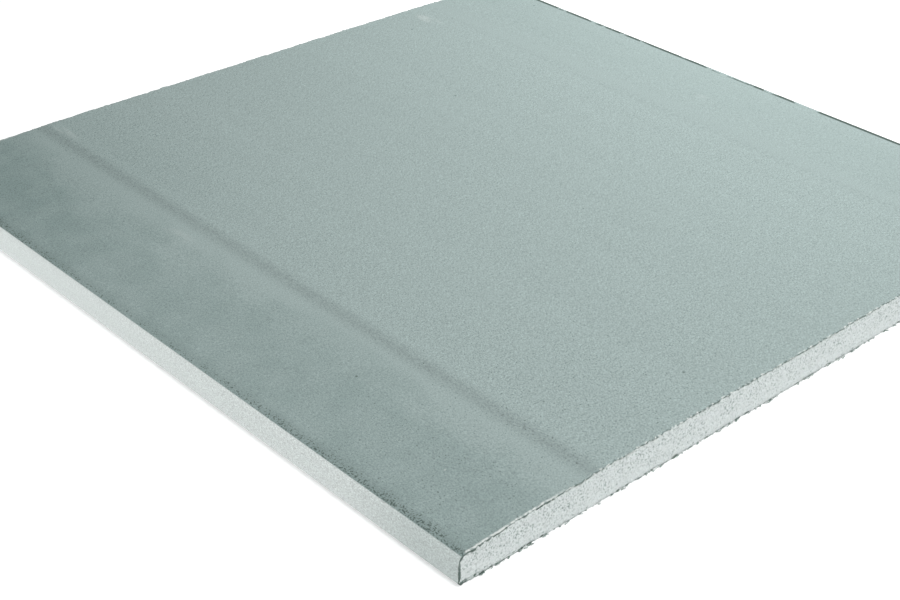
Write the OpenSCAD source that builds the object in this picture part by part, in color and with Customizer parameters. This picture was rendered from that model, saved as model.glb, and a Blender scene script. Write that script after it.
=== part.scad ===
// Panel of tapered-edge drywall: a gypsum core between two papers.
// The face paper wraps the two long edges and folds onto the back as a flap.
// The back paper lies over the flaps and stops short of the bound edges.
// X runs across the panel, Y along its bound edges and Z up through its face.
// The origin is the middle of the back, on the surface that the panel lies on.

/* [Panel] */
// Width, from bound edge to bound edge
panel_w = 310; // [200:1:1250]
// Length of the bound edges, from cut end to cut end
panel_l = 300; // [100:1:3600]
// Thickness of the flat field, both papers included
panel_t = 12.5; // [9.5:0.1:19]

/* [Taper] */
// Distance from the bound edge to the top of the crease
taper_w = 57; // [40:1:80]
// Drop of the face at the bound edge
taper_depth = 1.85; // [1:0.05:2.5]
// Width of the crease that starts the taper
crease_w = 7; // [5:0.5:12]
// Drop of the face across the crease
crease_depth = 0.25; // [0.2:0.05:0.7]
// Rounding of the top and the foot of the crease
crease_r = 60; // [10:1:80]
// Rounding of the knee, where the taper steepens
knee_r = 300; // [100:10:450]

/* [Bound edge] */
// How far the bound edge leans inwards at the face
edge_lean = 0.6; // [0.4:0.1:1.5]
// Height of the part of the bound edge that leans
lean_h = 3; // [2.8:0.1:4.5]
// Rounding where the lean begins
shoulder_r = 8; // [4:0.5:12]
// Outside radius of the arris between the edge and the face
face_arris_r = 2; // [0.8:0.1:2.4]
// Outside radius of the arris between the edge and the back
back_arris_r = 1.6; // [1:0.1:2.5]

/* [Paper] */
// Thickness of the face paper
face_paper_t = 0.4; // [0.2:0.05:0.6]
// Thickness of the back paper
back_paper_t = 0.35; // [0.2:0.05:0.6]
// Width of the flap, from the bound edge inwards
flap_w = 25; // [18:1:40]
// Bare strip of flap between the bound edge and the back paper
flap_bare_w = 5; // [3:0.5:15]

/* [Hidden] */

// Place of the knee, as a share of the way from the crease's foot to the edge
knee_place_share = 0.4;
// Drop to the knee, as a share of the drop from the crease's foot to the edge
knee_drop_share = 0.15;
// Largest turn that one chord of a rounded corner takes, in degrees
chord_turn = 8;

edge_x = panel_w / 2;
flap_end_x = edge_x - flap_w;
crease_top_x = edge_x - taper_w;
crease_foot_x = crease_top_x + crease_w;
face_corner_x = edge_x - edge_lean;
knee_x = crease_foot_x + knee_place_share * (face_corner_x - crease_foot_x);

flap_z = back_paper_t;
crease_foot_z = panel_t - crease_depth;
face_corner_z = panel_t - taper_depth;
shoulder_z = face_corner_z - lean_h;
knee_z = crease_foot_z - knee_drop_share * (crease_foot_z - face_corner_z);

// Corners of the face paper's outside on the +X half, from the end of the flap,
// round the bound edge and up the taper to the flat field: [[x, z], rounding]
half_corners = [
    [[flap_end_x, flap_z], 0],
    [[edge_x, flap_z], back_arris_r],
    [[edge_x, shoulder_z], shoulder_r],
    [[face_corner_x, face_corner_z], face_arris_r],
    [[knee_x, knee_z], knee_r],
    [[crease_foot_x, crease_foot_z], crease_r],
    [[crease_top_x, panel_t], crease_r],
];
paper_corners = concat(half_corners, mirrored(half_corners));
core_corners = inset(paper_corners, face_paper_t);

function reversed(list) = [for (i = [len(list) - 1:-1:0]) list[i]];
function mirrored(corners) = [for (c = reversed(corners)) [[-c[0][0], c[0][1]], c[1]]];

function heading(a, b) = (b - a) / norm(b - a);
function left_of(u) = [-u[1], u[0]];
function turned(u, angle) = u * cos(angle) + left_of(u) * sin(angle);
function turn(u, v) = atan2(left_of(u) * v, u * v);

// Headings of the stretches before and after corner i of an open row of corners
function heading_in(corners, i) =
    let (k = max(i, 1)) heading(corners[k - 1][0], corners[k][0]);
function heading_out(corners, i) =
    let (k = min(i, len(corners) - 2)) heading(corners[k][0], corners[k + 1][0]);

// The same row of corners, moved by d to the left of the way it runs
function inset(corners, d) = [
    for (i = [0:len(corners) - 1])
        let (u = heading_in(corners, i), v = heading_out(corners, i))
            [corners[i][0] + d * (left_of(u) + left_of(v)) / (1 + u * v),
             corners[i][1] - d * sign(turn(u, v))]
];

// Points of the arc that rounds corner i, or the corner itself at an end of the row
function corner_points(corners, i) =
    let (u = heading_in(corners, i), v = heading_out(corners, i), angle = turn(u, v))
        angle == 0 ? [corners[i][0]] : arc_points(corners[i][0], corners[i][1], u, angle);

function arc_points(corner, r, u, angle) =
    let (
        side = sign(angle),
        reach = r * tan(abs(angle) / 2),
        centre = corner - reach * u + side * r * left_of(u),
        chords = max(2, ceil(abs(angle) / chord_turn))
    )
        [for (k = [0:chords]) centre - side * r * left_of(turned(u, angle * k / chords))];

function outline(corners) = [for (i = [0:len(corners) - 1]) each corner_points(corners, i)];

// A section in X and Z, drawn out along Y from cut end to cut end
module along_panel() {
    rotate([90, 0, 0])
        linear_extrude(height = panel_l, center = true)
            children();
}

// Set gypsum that fills the face paper down to its flaps and the back paper
module gypsum_core() {
    back_face = [[-flap_end_x, flap_z], [flap_end_x, flap_z]];
    color("#d4d9d7")
        along_panel()
            polygon(concat(outline(core_corners), back_face));
}

// One sheet of grey-green paper, from flap to flap over the face
module face_paper() {
    color("#a2b2af")
        along_panel()
            polygon(concat(outline(paper_corners), reversed(outline(core_corners))));
}

// Plain grey paper over the back, lapped over both flaps
module back_paper() {
    back_paper_w = panel_w - 2 * flap_bare_w;
    color("#b5b3a9")
        translate([-back_paper_w / 2, -panel_l / 2, 0])
            cube([back_paper_w, panel_l, back_paper_t]);
}

gypsum_core();
face_paper();
back_paper();
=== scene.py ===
"""Looks of a cut drywall panel: its gypsum core, face paper and back paper.

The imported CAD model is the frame. Each of its three nodes is replaced by a mesh of the
same section that adds what a knife and a snap leave at the cut ends, and every surface
gets a procedural finish. Lengths are in metres.
"""

import logging
import math
from dataclasses import dataclass, field
from enum import Enum
from functools import reduce

import bmesh
import bpy
import numpy as np
from mathutils import Matrix, Vector


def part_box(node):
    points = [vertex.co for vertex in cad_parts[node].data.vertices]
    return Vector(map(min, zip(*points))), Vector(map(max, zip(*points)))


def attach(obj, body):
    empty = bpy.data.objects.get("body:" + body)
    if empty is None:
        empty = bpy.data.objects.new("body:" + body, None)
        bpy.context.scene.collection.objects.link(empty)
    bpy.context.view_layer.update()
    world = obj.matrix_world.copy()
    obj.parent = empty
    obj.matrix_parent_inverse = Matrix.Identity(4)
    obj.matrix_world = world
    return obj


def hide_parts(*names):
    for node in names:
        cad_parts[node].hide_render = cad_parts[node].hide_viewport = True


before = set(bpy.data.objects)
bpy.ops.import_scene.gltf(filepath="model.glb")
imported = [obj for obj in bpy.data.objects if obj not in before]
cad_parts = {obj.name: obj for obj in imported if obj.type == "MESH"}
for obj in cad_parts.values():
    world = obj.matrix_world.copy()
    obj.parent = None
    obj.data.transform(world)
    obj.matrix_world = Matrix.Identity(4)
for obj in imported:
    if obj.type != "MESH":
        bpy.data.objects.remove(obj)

LOG = logging.getLogger("drywall_panel")
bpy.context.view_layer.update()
BODY = "root"
MM = 0.001

Socket = bpy.types.NodeSocket
Triple = tuple[float, float, float]
Colour = Triple
Span = tuple[float, float]
Layers = tuple[Span, ...]
Places = float | np.ndarray


class CutEnd(Enum):
    """The two cut ends, by the way along Y that they face."""

    NEAR = -1
    FAR = 1


class Slot(Enum):
    """Material slots of the record."""

    GYPSUM = "gypsum"
    FACE_PAPER = "face_paper"
    BACK_PAPER = "back_paper"


class Mark(Enum):
    """Values stored on mesh points for the finishes to read, in millimetres or as shares."""

    EDGE_RUN = "edge_run"
    CUT_RUN = "cut_run"
    # Share of painted shade in the pits and the crumbled strip of a snapped end.
    PIT_SHADE = "pit"
    TORN = "torn"


def srgb(red: int, green: int, blue: int) -> Colour:
    """Turn 8-bit display values into linear colour.

    Args:
        red: Red, from 0 to 255.
        green: Green, from 0 to 255.
        blue: Blue, from 0 to 255.

    Returns:
        The linear colour, each part from 0 to 1.
    """
    def linear(value: float) -> float:
        """One part of the colour, made linear."""
        return value / 12.92 if value <= 0.04045 else ((value + 0.055) / 1.055) ** 2.4

    return linear(red / 255), linear(green / 255), linear(blue / 255)


class Roughener:
    """Seeded smooth noise on lines and grids, for edges and surfaces that were cut or torn."""

    def __init__(self, seed: int) -> None:
        """Start the draws.

        Args:
            seed: Seed of every draw that this roughener makes.
        """
        self.draws = np.random.default_rng(seed)

    @staticmethod
    def _ease(share: np.ndarray) -> np.ndarray:
        """Ease a share from 0 to 1 so that slopes join."""
        return share * share * (3.0 - 2.0 * share)

    def along(self, places: np.ndarray, wave: float) -> np.ndarray:
        """Noise from -1 to 1 along a line.

        Args:
            places: Distances along the line.
            wave: Distance between the random values that are joined.

        Returns:
            One value for each place.
        """
        cells = (places - places.min()) / wave
        low = np.floor(cells).astype(int)
        knots = self.draws.uniform(-1.0, 1.0, low.max() + 2)
        share = self._ease(cells - low)
        return knots[low] * (1.0 - share) + knots[low + 1] * share

    def layered(self, places: np.ndarray, layers: Layers) -> np.ndarray:
        """Noise along a line, summed from layers of a share and a wave each."""
        return sum(share * self.along(places, wave) for share, wave in layers)

    def over(self, across: np.ndarray, up: np.ndarray, wave: float) -> np.ndarray:
        """Noise from -1 to 1 over a surface.

        Args:
            across: Distances along the first direction.
            up: Distances along the second direction.
            wave: Distance between the random values that are joined.

        Returns:
            One value for each pair of distances.
        """
        u = (across - across.min()) / wave
        v = (up - up.min()) / wave
        i, j = np.floor(u).astype(int), np.floor(v).astype(int)
        knots = self.draws.uniform(-1.0, 1.0, (i.max() + 2, j.max() + 2))
        s, t = self._ease(u - i), self._ease(v - j)
        low = knots[i, j] * (1.0 - s) + knots[i + 1, j] * s
        high = knots[i, j + 1] * (1.0 - s) + knots[i + 1, j + 1] * s
        return low * (1.0 - t) + high * t


@dataclass(frozen=True)
class PanelSizes:
    """Sizes of the panel. The overall ones come from the frame."""

    width: float
    length: float
    thickness: float
    face_paper: float
    back_paper: float
    back_width: float
    taper_width: float = 57 * MM
    taper_depth: float = 1.85 * MM
    crease_width: float = 7 * MM
    crease_depth: float = 0.25 * MM
    crease_round: float = 60 * MM
    knee_round: float = 300 * MM
    knee_place_share: float = 0.4
    knee_drop_share: float = 0.15
    edge_lean: float = 0.6 * MM
    lean_height: float = 3 * MM
    shoulder_round: float = 8 * MM
    face_arris_round: float = 2 * MM
    back_arris_round: float = 1.6 * MM
    flap_width: float = 25 * MM

    @classmethod
    def from_frame(cls) -> "PanelSizes":
        """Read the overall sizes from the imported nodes.

        Returns:
            The sizes.
        """
        face_low, face_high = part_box("face_paper")
        _, core_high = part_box("gypsum_core")
        back_low, back_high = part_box("back_paper")
        return cls(
            width=face_high.x - face_low.x,
            length=face_high.y - face_low.y,
            thickness=face_high.z,
            face_paper=face_high.z - core_high.z,
            back_paper=back_high.z,
            back_width=back_high.x - back_low.x,
        )


class PanelSection:
    """The panel's section in X and Z, from flap to flap round the face.

    Attributes:
        outside: Points of the paper's outside, from the +X flap to the -X flap.
        inside: The same points, one paper thickness further in.
        run: Distance of each point along the outside.
        edge_run: Distance from the nearer face arris, positive down the bound edge.
    """

    STRAIGHT_STEP = 0.45 * MM
    ARC_STEP = math.radians(9)
    LEAST_CHORDS = 4
    SIDE_SLACK = 0.002 * MM

    def __init__(self, sizes: PanelSizes) -> None:
        """Work out the section.

        Args:
            sizes: Sizes of the panel.
        """
        self.sizes = sizes
        half = self._half_corners()
        mirrored = [(place * (-1.0, 1.0), rounding) for place, rounding in reversed(half)]
        self.outside = self._sampled(half + mirrored)
        steps = np.linalg.norm(np.diff(self.outside, axis=0), axis=1)
        self.run = np.concatenate([[0.0], np.cumsum(steps)])
        self.inside = self.outside + sizes.face_paper * self._inward(self.outside)
        arris = (sizes.width / 2 - sizes.edge_lean, sizes.thickness - sizes.taper_depth)
        arris_run = self.run[np.argmin(np.linalg.norm(self.outside - arris, axis=1))]
        self.edge_run = np.maximum(arris_run - self.run, self.run - (self.run[-1] - arris_run))

    def _half_corners(self) -> list[tuple[np.ndarray, float]]:
        """Corners of the +X half with their roundings, from the flap's end to the flat field.

        Returns:
            Place and rounding of each corner.
        """
        s = self.sizes
        edge = s.width / 2
        crease_top = edge - s.taper_width
        crease_foot = crease_top + s.crease_width
        face_corner = edge - s.edge_lean
        face_corner_z = s.thickness - s.taper_depth
        crease_foot_z = s.thickness - s.crease_depth
        knee = crease_foot + s.knee_place_share * (face_corner - crease_foot)
        knee_z = crease_foot_z - s.knee_drop_share * (crease_foot_z - face_corner_z)
        places = [
            (edge - s.flap_width, s.back_paper, 0.0),
            (edge, s.back_paper, s.back_arris_round),
            (edge, face_corner_z - s.lean_height, s.shoulder_round),
            (face_corner, face_corner_z, s.face_arris_round),
            (knee, knee_z, s.knee_round),
            (crease_foot, crease_foot_z, s.crease_round),
            (crease_top, s.thickness, s.crease_round),
        ]
        return [(np.array([x, z]), rounding) for x, z, rounding in places]

    def _sampled(self, corners: list[tuple[np.ndarray, float]]) -> np.ndarray:
        """Join the corners by straights and arcs.

        Args:
            corners: Places of the corners in order, with their roundings.

        Returns:
            Points along the joined line.
        """
        points = [corners[0][0]]
        for (before, _), (place, rounding), (after, _) in zip(corners, corners[1:], corners[2:]):
            way_in = (place - before) / np.linalg.norm(place - before)
            way_out = (after - place) / np.linalg.norm(after - place)
            left = np.array([-way_in[1], way_in[0]])
            turn = math.atan2(left @ way_out, way_in @ way_out)
            reach = rounding * math.tan(abs(turn) / 2)
            side = math.copysign(rounding, turn)
            centre = place - reach * way_in + side * left
            self._straight(points, place - reach * way_in)
            chords = max(self.LEAST_CHORDS, math.ceil(abs(turn) / self.ARC_STEP))
            for k in range(1, chords + 1):
                angle = turn * k / chords
                turned = math.cos(angle) * left - math.sin(angle) * way_in
                points.append(centre - side * turned)
        self._straight(points, corners[-1][0])
        return np.array(points)

    def _straight(self, points: list[np.ndarray], end: np.ndarray) -> None:
        """Add points along a straight from the last point to an end.

        Args:
            points: Points so far, which are added to.
            end: End of the straight.
        """
        start = points[-1]
        steps = max(1, math.ceil(np.linalg.norm(end - start) / self.STRAIGHT_STEP))
        points.extend(start + (end - start) * k / steps for k in range(1, steps + 1))

    @staticmethod
    def _inward(points: np.ndarray) -> np.ndarray:
        """Unit normals to the left of the way a line of points runs.

        Args:
            points: Points of the line.

        Returns:
            One normal for each point.
        """
        ways = np.gradient(points, axis=0)
        ways /= np.linalg.norm(ways, axis=1, keepdims=True)
        return np.stack([-ways[:, 1], ways[:, 0]], axis=1)

    def core_heights(self, across: np.ndarray) -> tuple[np.ndarray, np.ndarray]:
        """Bottom and top of the core at places across the panel.

        Args:
            across: Places along X, within the core.

        Returns:
            The core's lowest and highest Z at each place.
        """
        sideways = self.inside[:, 0]
        widest = np.flatnonzero(sideways > sideways.max() - self.SIDE_SLACK)
        under = self.inside[:widest[0] + 1]
        over = self.inside[widest[-1]:len(self.inside) // 2 + 1][::-1]
        away = np.abs(across)
        top = np.interp(away, over[:, 0], over[:, 1])
        wrapped = np.interp(away, under[:, 0], under[:, 1])
        flap_end = self.sizes.width / 2 - self.sizes.flap_width
        return np.where(away < flap_end, self.sizes.back_paper, wrapped), top


def linked(name: str, data: bpy.types.ID) -> bpy.types.Object:
    """Make an object from its data and link it to the scene.

    Args:
        name: Name of the object.
        data: Mesh, lamp or camera that it holds.

    Returns:
        The new object.
    """
    holder = bpy.data.objects.new(name, data)
    bpy.context.scene.collection.objects.link(holder)
    return holder


class MeshDesk:
    """Makes finished mesh objects from arrays."""

    @classmethod
    def make(
        cls, name: str, points: np.ndarray, grids: list[np.ndarray], marks: dict[Mark, np.ndarray]
    ) -> bpy.types.Object:
        """Make a closed, smooth mesh object at the origin.

        Args:
            name: Name of the object.
            points: Places of the mesh's points.
            grids: Grids of point numbers, with a face between each four neighbours.
            marks: Values stored on the points.

        Returns:
            The new object, linked to the scene.
        """
        mesh = bpy.data.meshes.new(name)
        mesh.from_pydata(points.tolist(), [], cls.faces(grids))
        for mark, values in marks.items():
            layer = mesh.attributes.new(mark.value, "FLOAT", "POINT")
            layer.data.foreach_set("value", np.asarray(values, np.float32))
        work = bmesh.new()
        work.from_mesh(mesh)
        bmesh.ops.recalc_face_normals(work, faces=work.faces)
        if work.calc_volume(signed=True) < 0.0:
            bmesh.ops.reverse_faces(work, faces=work.faces)
        work.to_mesh(mesh)
        work.free()
        mesh.polygons.foreach_set("use_smooth", np.ones(len(mesh.polygons), bool))
        mesh.update()
        return linked(name, mesh)

    @classmethod
    def sheet(
        cls, name: str, outer: np.ndarray, inner: np.ndarray, marks: dict[Mark, np.ndarray]
    ) -> bpy.types.Object:
        """Make two skins into a closed sheet. The faces of its two ends come last.

        Args:
            name: Name of the object.
            outer: Points of the outer skin, in rows and columns.
            inner: Points of the inner skin, in the same rows and columns.
            marks: Values stored on the points of each skin.

        Returns:
            The new object, linked to the scene.
        """
        top = np.arange(outer.shape[0] * outer.shape[1]).reshape(outer.shape[:2])
        under = top + top.size
        sides = [np.stack([top[:, k], under[:, k]]) for k in (0, -1)]
        ends = [np.stack([top[k], under[k]]) for k in (0, -1)]
        points = np.concatenate([outer.reshape(-1, 3), inner.reshape(-1, 3)])
        doubled = {mark: np.tile(values, 2) for mark, values in marks.items()}
        return cls.make(name, points, [top, under, *sides, *ends], doubled)

    @staticmethod
    def faces(grids: list[np.ndarray]) -> list[list[int]]:
        """Faces between the neighbours of grids of point numbers.

        Args:
            grids: Point numbers, in rows and columns.

        Returns:
            Point numbers of the four corners of each face.
        """
        corners = [
            np.stack([n[:-1, :-1], n[1:, :-1], n[1:, 1:], n[:-1, 1:]], axis=-1).reshape(-1, 4)
            for n in grids
        ]
        return np.concatenate(corners).tolist()

    @staticmethod
    def points(x: Places, y: Places, z: Places) -> np.ndarray:
        """Join places along X, Y and Z to points, with a single value spread over the rest."""
        return np.stack(np.broadcast_arrays(x, y, z), axis=-1)


def settle(piece: bpy.types.Object, slot: Slot, *nodes: str) -> None:
    """Args:
        piece: The finished piece.
        slot: Material slot of the record for the piece. Not used.
        *nodes: CAD nodes that the piece stands for.
    """
    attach(piece, BODY)
    if nodes:
        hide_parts(*nodes)
    triangles = sum(len(face.vertices) - 2 for face in piece.data.polygons)
    LOG.info("%s: %d triangles on %s", piece.name, triangles, BODY)


class Desk:
    """Short ways to place and join the nodes of one tree."""

    def __init__(self, tree: bpy.types.NodeTree) -> None:
        """Take a tree to work on."""
        self.tree = tree

    def put(self, target: Socket, value: object) -> None:
        """Join a socket to a target, or set the target to a plain value.

        Args:
            target: Input of a node.
            value: Socket or plain value.
        """
        if isinstance(value, Socket):
            self.tree.links.new(value, target)
        elif isinstance(value, tuple) and len(value) == 3 and target.type == "RGBA":
            target.default_value = (*value, 1.0)
        else:
            target.default_value = value

    def add(
        self, kind: str, settings: dict[str, object] | None = None, **inputs: object
    ) -> bpy.types.Node:
        """Place a node.

        Args:
            kind: Type name of the node.
            settings: Properties to set on the node.
            **inputs: Sockets or values for the node's inputs, with _ for each space in a name.

        Returns:
            The new node.
        """
        node = self.tree.nodes.new(kind)
        for key, value in (settings or {}).items():
            setattr(node, key, value)
        for key, value in inputs.items():
            title = key.replace("_", " ")
            self.put(next(s for s in node.inputs if s.name == title and s.enabled), value)
        return node

    def math(self, operation: str, first: object, second: object = 0.0) -> Socket:
        """Place a Math node.

        Args:
            operation: Name of the operation.
            first: First socket or number.
            second: Second socket or number.

        Returns:
            The result's socket.
        """
        node = self.add("ShaderNodeMath", {"operation": operation})
        self.put(node.inputs[0], first)
        self.put(node.inputs[1], second)
        return node.outputs[0]

    def product(self, *values: object) -> Socket:
        """Multiply sockets or numbers together."""
        return reduce(lambda one, two: self.math("MULTIPLY", one, two), values)

    def total(self, *values: object) -> Socket:
        """Add sockets or numbers together."""
        return reduce(lambda one, two: self.math("ADD", one, two), values)

    def most(self, *values: object) -> Socket:
        """The largest of several sockets or numbers."""
        return reduce(lambda one, two: self.math("MAXIMUM", one, two), values)

    def rest(self, share: object) -> Socket:
        """What a share leaves of 1."""
        return self.math("SUBTRACT", 1.0, share)

    def axes(self, vector: Socket) -> tuple[Socket, Socket, Socket]:
        """Part a vector into its X, Y and Z."""
        return tuple(self.add("ShaderNodeSeparateXYZ", Vector=vector).outputs)


class NodeDesk(Desk):
    """A desk for shader trees."""

    def fit(
        self, value: object, low: float, high: float, to_low: float = 0.0, to_high: float = 1.0
    ) -> Socket:
        """Ease a value from one range into another, held at its ends.

        Args:
            value: Socket to fit.
            low: Start of the first range.
            high: End of the first range.
            to_low: Start of the second range.
            to_high: End of the second range.

        Returns:
            The fitted value's socket.
        """
        node = self.add("ShaderNodeMapRange", {"interpolation_type": "SMOOTHSTEP"})
        for socket, given in zip(node.inputs, (value, low, high, to_low, to_high)):
            self.put(socket, given)
        return node.outputs[0]

    def band(self, value: object, rise: Span, fall: Span) -> Socket:
        """1 between two slopes, each given by where it is 0 and where it reaches 1."""
        return self.product(self.fit(value, *rise), self.fit(value, *fall))

    def mix(self, share: object, first: object, second: object, blend: str = "MIX") -> Socket:
        """Mix two colours.

        Args:
            share: How much of the second colour shows.
            first: First colour or socket.
            second: Second colour or socket.
            blend: Name of the way of mixing.

        Returns:
            The mixed colour's socket.
        """
        node = self.add("ShaderNodeMix", {"data_type": "RGBA", "blend_type": blend})
        for number, value in ((0, share), (6, first), (7, second)):
            self.put(node.inputs[number], value)
        return node.outputs[2]

    def scaled(self, vector: Socket, scale: Triple) -> Socket:
        """Stretch coordinates by a scale for each axis."""
        return self.add("ShaderNodeMapping", Vector=vector, Scale=scale).outputs[0]

    def mark(self, mark: Mark) -> Socket:
        """Read a value that is stored on the mesh's points."""
        return self.add("ShaderNodeAttribute", {"attribute_name": mark.value}).outputs["Fac"]


class EffectGroups:
    """Shader node groups that several finishes share, each built once."""

    def __init__(self) -> None:
        """Build every group."""
        self.fibre_grain = self._fibre_grain()
        self.specks = self._specks()

    @staticmethod
    def _new(
        name: str, inputs: dict[str, float], *outputs: str
    ) -> tuple[NodeDesk, bpy.types.NodeOutputs, bpy.types.NodeInputs]:
        """Start a group that takes coordinates and plain values, and puts out plain values.

        Args:
            name: Name of the group.
            inputs: First value for each named input besides Vector.
            *outputs: Names of the outputs.

        Returns:
            A desk to work on the group, what it is given and what it puts out.
        """
        tree = bpy.data.node_groups.new(name, "ShaderNodeTree")
        tree.interface.new_socket("Vector", in_out="INPUT", socket_type="NodeSocketVector")
        for title, value in inputs.items():
            socket = tree.interface.new_socket(
                title, in_out="INPUT", socket_type="NodeSocketFloat"
            )
            socket.default_value = value
        for title in outputs:
            tree.interface.new_socket(title, in_out="OUTPUT", socket_type="NodeSocketFloat")
        desk = NodeDesk(tree)
        return desk, desk.add("NodeGroupInput").outputs, desk.add("NodeGroupOutput").inputs

    def _fibre_grain(self) -> bpy.types.NodeTree:
        """Grain of paper: a tone about 1, and a height, of short fibres mostly along Y.

        Returns:
            The group.
        """
        desk, given, out = self._new(
            "fibre_grain", {"Fibre": 0.6 * MM, "Contrast": 0.1}, "Tone", "Height"
        )
        rate = desk.math("DIVIDE", 1.0, given["Fibre"])
        layers = [
            desk.add(
                "ShaderNodeTexNoise",
                Vector=desk.scaled(given["Vector"], stretch),
                Scale=rate, Detail=2.0, Roughness=0.65,
            ).outputs[0]
            for stretch in ((1.0, 0.5, 1.0), (1.3, 0.8, 1.3))
        ]
        height = desk.product(desk.total(*layers), 0.5)
        swing = desk.product(desk.math("SUBTRACT", height, 0.5), given["Contrast"])
        desk.put(out["Tone"], desk.total(swing, 1.0))
        desk.put(out["Height"], height)
        return desk.tree

    def _specks(self) -> bpy.types.NodeTree:
        """A mask of scattered small specks: a share of the cells holds one, of uneven outline.

        Returns:
            The group.
        """
        desk, given, out = self._new(
            "specks", {"Spacing": 4 * MM, "Size": 0.12, "Share": 0.3}, "Mask"
        )
        cells = desk.add(
            "ShaderNodeTexVoronoi",
            Vector=given["Vector"], Scale=desk.math("DIVIDE", 1.0, given["Spacing"]),
        )
        parts = desk.add("ShaderNodeSeparateColor", Color=cells.outputs["Color"]).outputs
        size = desk.product(given["Size"], desk.total(parts[1], 0.4))
        near = desk.rest(desk.math("DIVIDE", cells.outputs["Distance"], size))
        held = desk.math("LESS_THAN", parts[0], given["Share"])
        desk.put(out["Mask"], desk.product(desk.fit(near, 0.0, 0.5), held))
        return desk.tree


@dataclass(frozen=True)
class Flecks:
    """Flecks in a finish.

    Attributes:
        spacing: Size of the cells that may hold a fleck, in metres.
        size: Reach of a fleck, as a share of its cell.
        share: Share of the cells that hold one.
        colour: Colour of the flecks.
        strength: How much of the colour shows.
    """

    spacing: float
    size: float
    share: float
    colour: Colour
    strength: float = 1.0


class Finish:
    """Common part of the finishes: a matte material whose nodes a subclass joins."""

    name = "finish"
    roughness = 0.9
    specular = 0.25
    flecks: tuple[Flecks, ...] = ()

    def __init__(self, groups: EffectGroups) -> None:
        """Make the material.

        Args:
            groups: Effects that the finishes share.
        """
        self.groups = groups
        self.material = bpy.data.materials.new(self.name)
        self.material.use_nodes = True
        self.desk = NodeDesk(self.material.node_tree)
        self.shader = self.material.node_tree.nodes["Principled BSDF"]
        self.shader.inputs["Specular IOR Level"].default_value = self.specular
        self.shader.inputs["Roughness"].default_value = self.roughness
        self.place = self.desk.add("ShaderNodeTexCoord").outputs["Object"]
        self.desk.put(self.shader.inputs["Base Color"], self.build())

    def build(self) -> Socket:
        """Join the nodes of the material and return its colour."""
        raise NotImplementedError

    def grain(self, fibre: float, contrast: object) -> bpy.types.NodeOutputs:
        """Place the paper grain.

        Args:
            fibre: Size of one fibre clump in metres.
            contrast: How far the tone swings, as a number or a socket.

        Returns:
            The grain's Tone and Height.
        """
        return self.desk.add(
            "ShaderNodeGroup", {"node_tree": self.groups.fibre_grain},
            Vector=self.place, Fibre=fibre, Contrast=contrast,
        ).outputs

    def specks(self, spacing: float, size: float, share: float) -> Socket:
        """Place scattered specks.

        Args:
            spacing: Size of the cells that may hold a speck, in metres.
            size: Reach of a speck, as a share of its cell.
            share: Share of the cells that hold one.

        Returns:
            The mask's socket.
        """
        return self.desk.add(
            "ShaderNodeGroup", {"node_tree": self.groups.specks},
            Vector=self.place, Spacing=spacing, Size=size, Share=share,
        ).outputs["Mask"]

    def flecked(self, colour: Socket) -> Socket:
        """Strew the finish's flecks over a colour.

        Args:
            colour: Colour without flecks.

        Returns:
            The flecked colour.
        """
        for fleck in self.flecks:
            mask = self.specks(fleck.spacing, fleck.size, fleck.share)
            colour = self.desk.mix(self.desk.product(mask, fleck.strength), colour, fleck.colour)
        return colour

    def noise(
        self, grain: float, detail: float = 2.0, rough: float = 0.6, stretch: Triple | None = None
    ) -> Socket:
        """Noise over the piece, about 0.5 on average.

        Args:
            grain: Size of one grain in metres.
            detail: Octaves of finer noise.
            rough: Share of each finer octave.
            stretch: Scale of the coordinates for each axis, where the noise is drawn out.

        Returns:
            The noise's socket.
        """
        place = self.desk.scaled(self.place, stretch) if stretch else self.place
        return self.desk.add(
            "ShaderNodeTexNoise", Vector=place, Scale=1.0 / grain, Detail=detail, Roughness=rough
        ).outputs[0]

    def tone(self, colour: object, tone: Socket) -> Socket:
        """Multiply a colour by a tone."""
        grey = self.desk.add("ShaderNodeCombineColor", Red=tone, Green=tone, Blue=tone)
        return self.desk.mix(1.0, colour, grey.outputs[0], "MULTIPLY")

    def bump(self, height: Socket, depth: float, strength: float = 1.0) -> None:
        """Raise the surface by a height.

        Args:
            height: Height from 0 to 1.
            depth: What a height of 1 stands for, in metres.
            strength: Share of the bump that shows.
        """
        node = self.desk.add("ShaderNodeBump", Distance=depth, Strength=strength, Height=height)
        self.desk.put(self.shader.inputs["Normal"], node.outputs[0])


@dataclass(frozen=True)
class Scuff:
    """A scuffed mark on the face, at a place in X and Y, with half its size each way."""

    across: float
    along: float
    half_width: float
    half_length: float
    strength: float


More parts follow.
